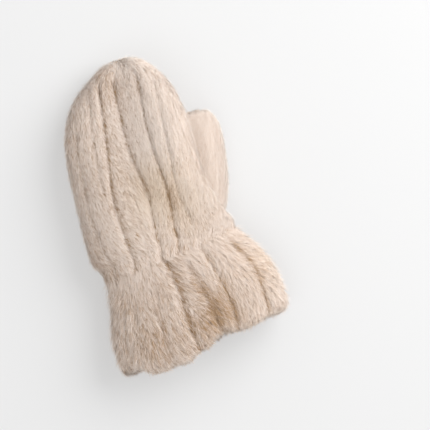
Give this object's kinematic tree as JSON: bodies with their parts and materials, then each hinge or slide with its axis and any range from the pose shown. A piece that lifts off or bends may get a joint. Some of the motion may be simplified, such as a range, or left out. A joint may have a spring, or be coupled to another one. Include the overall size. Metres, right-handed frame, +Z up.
{
  "type": "fur mitten",
  "caption": "Left-hand mitten of thick ribbed pile, lying palm down with its thumb half tucked under it and a wide flared cuff below a gathered wrist.",
  "frame": {"origin": "on the surface the mitten lies on, under the middle of its bounding box", "axes": "+Z up out of the back of the hand, +Y towards the fingertips, +X towards the thumb"},
  "size_m": [0.1624, 0.2818, 0.07],
  "materials": {
    "hand_fur": "short ribbed pile, cream beige",
    "palm_fur": "short ribbed pile, cream beige",
    "thumb_fur": "short ribbed pile, cream beige",
    "cuff_fur": "long fluffy pile, cream beige with tan roots"
  },
  "bodies": {
    "root": {"back_panel": "hand_fur", "palm_panel": "palm_fur", "thumb": "thumb_fur", "cuff": "cuff_fur"}
  },
  "joints": []
}
